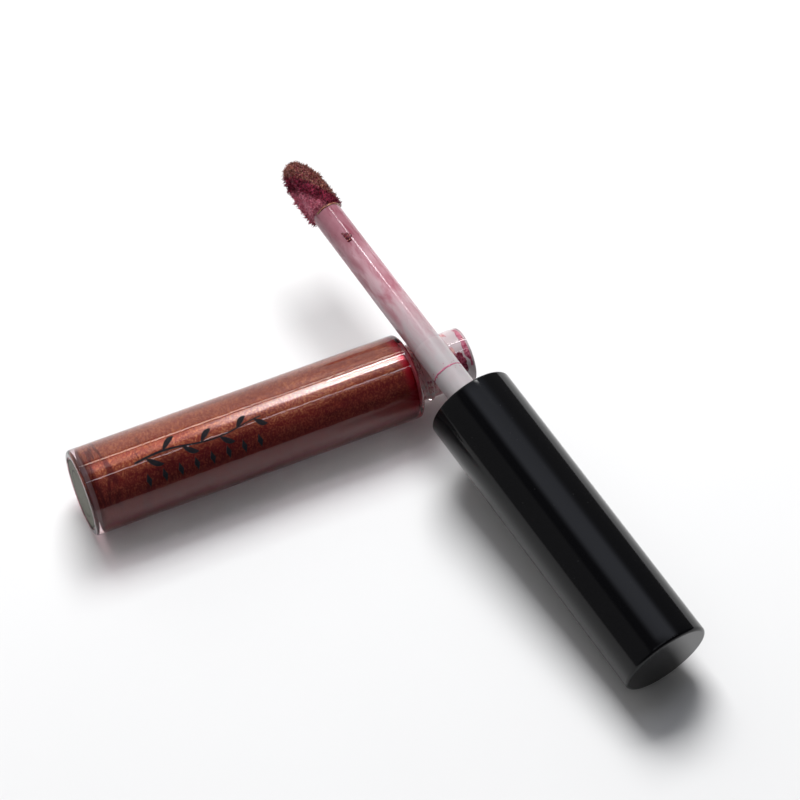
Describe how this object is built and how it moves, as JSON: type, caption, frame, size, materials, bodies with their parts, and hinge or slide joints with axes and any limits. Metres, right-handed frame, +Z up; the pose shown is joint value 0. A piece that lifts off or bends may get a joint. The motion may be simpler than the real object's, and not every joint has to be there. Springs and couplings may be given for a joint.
{
  "type": "lip gloss tube",
  "caption": "Clear screw-neck lip gloss tube lying on its side, with its black applicator cap and flocked wand leaning across the neck.",
  "frame": {"origin": "middle of the footprint of the open tube and its applicator, on the table they lie on", "axes": "+Z up; the tube's axis lies along X, with its base facing -X and its neck towards +X"},
  "size_m": [0.0808, 0.1116, 0.0228],
  "materials": {
    "clear_wall": "crystal clear thick moulded plastic, polished",
    "gloss": "viscous copper-red gloss with fine gold pearl",
    "wiper_plastic": "soft natural plastic with a film of gloss",
    "label_paper": "satin printed film",
    "cap_black": "polished black moulding",
    "liner_black": "satin black moulding",
    "washer_foam": "soft white sealing foam",
    "stem_plastic": "milky translucent plastic stained pink towards the tip",
    "tip_plastic": "flexible moulded core",
    "flock": "short nylon flock soaked with gloss"
  },
  "bodies": {
    "tube": {"tube_bottle": "clear_wall", "wiper": "wiper_plastic", "gloss_fill": "gloss", "base_label": "label_paper"},
    "seal": {"seal_washer": "washer_foam"},
    "applicator": {"cap_shell": "cap_black", "cap_liner": "liner_black", "stem": "stem_plastic", "tip_core": "tip_plastic", "tip_flock": "flock"}
  },
  "joints": [
    {"name": "wand_tilt", "type": "hinge", "parent": "tube", "child": "seal", "pos_m": [0.03272, -0.05306, 0.00058], "axis": [0.9874, 0.1582, 0], "range_deg": [0, 83.44]},
    {"name": "wand_turn", "type": "hinge", "parent": "seal", "child": "applicator", "pos_m": [0.0262, -0.01236, 0.01247], "axis": [-0.1571, 0.9809, 0.1143], "continuous": true}
  ]
}
